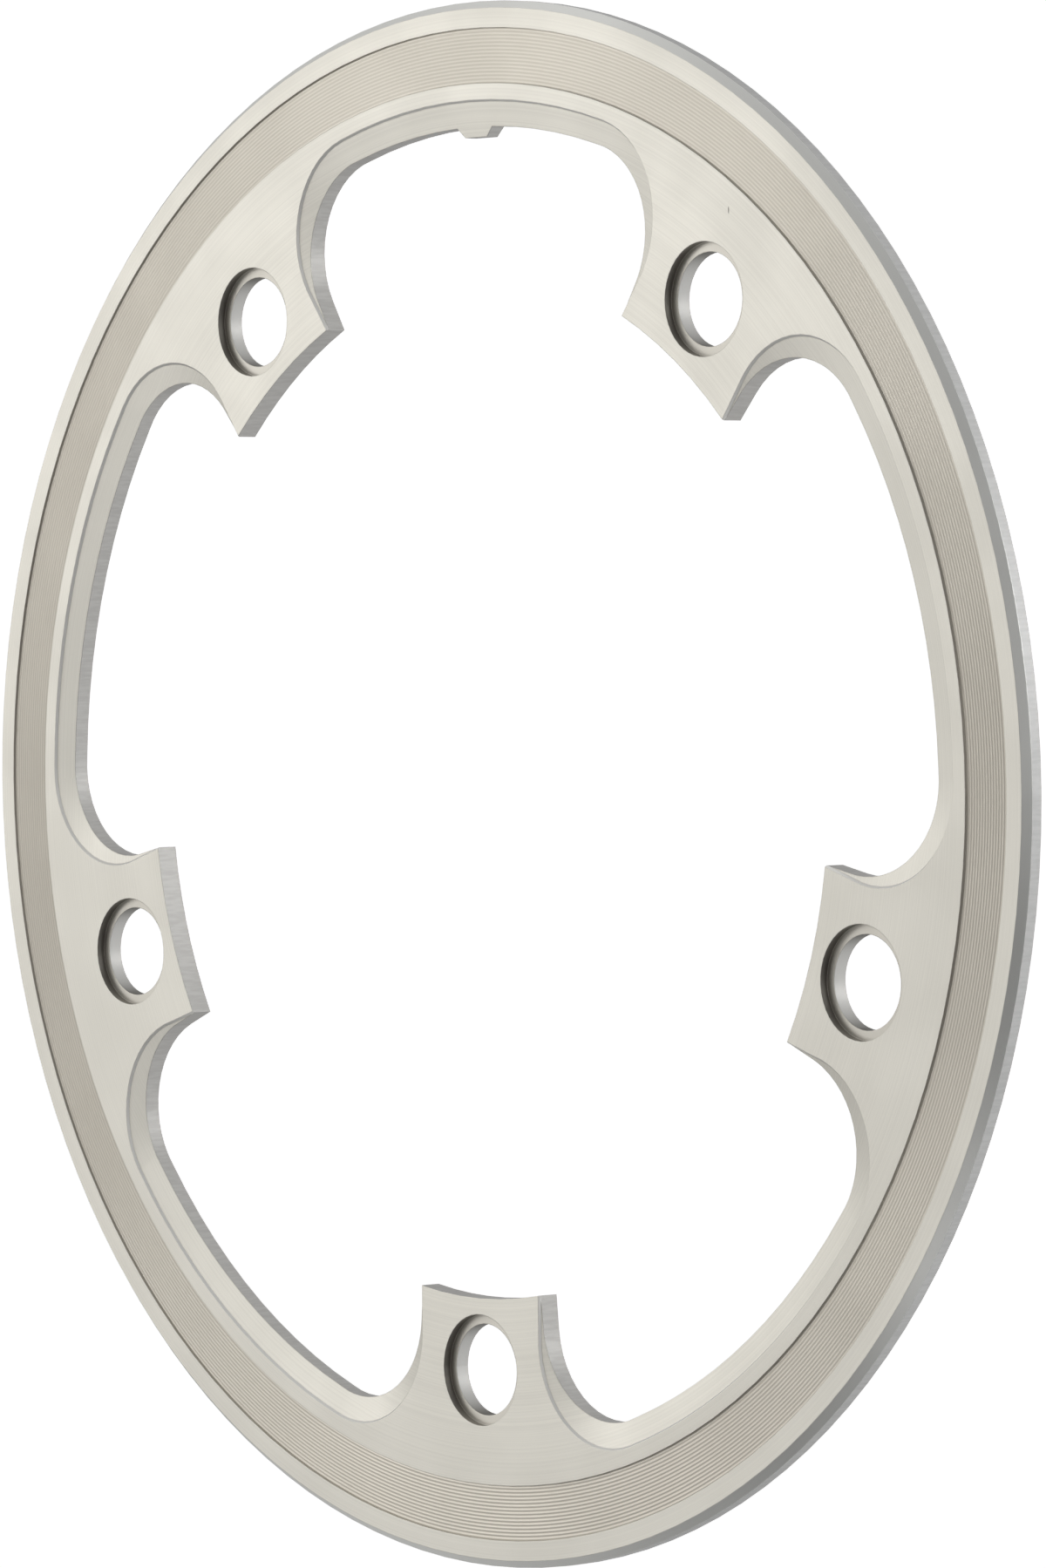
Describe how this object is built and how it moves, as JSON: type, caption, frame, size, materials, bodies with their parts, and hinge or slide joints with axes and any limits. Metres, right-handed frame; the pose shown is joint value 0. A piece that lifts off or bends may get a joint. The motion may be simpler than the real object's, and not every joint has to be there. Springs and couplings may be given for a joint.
{
  "type": "chainring guard",
  "caption": "Flat round chainring guard in machined aluminium, with a turned band round the rim and inward bolt tabs between scooped windows.",
  "frame": {"origin": "centre of the ring on its flat back face, the face that rests on the ground", "axes": "+Z is the ring's axis, out of the front face; +Y points at the window with the locating nub; a bolt tab lies along -Y"},
  "size_m": [0.1736, 0.1736, 0.0026],
  "materials": {
    "ring": "fine machined and clear anodised, with a band of turned grooves"
  },
  "bodies": {
    "root": {"guard_ring": "ring"}
  },
  "joints": []
}
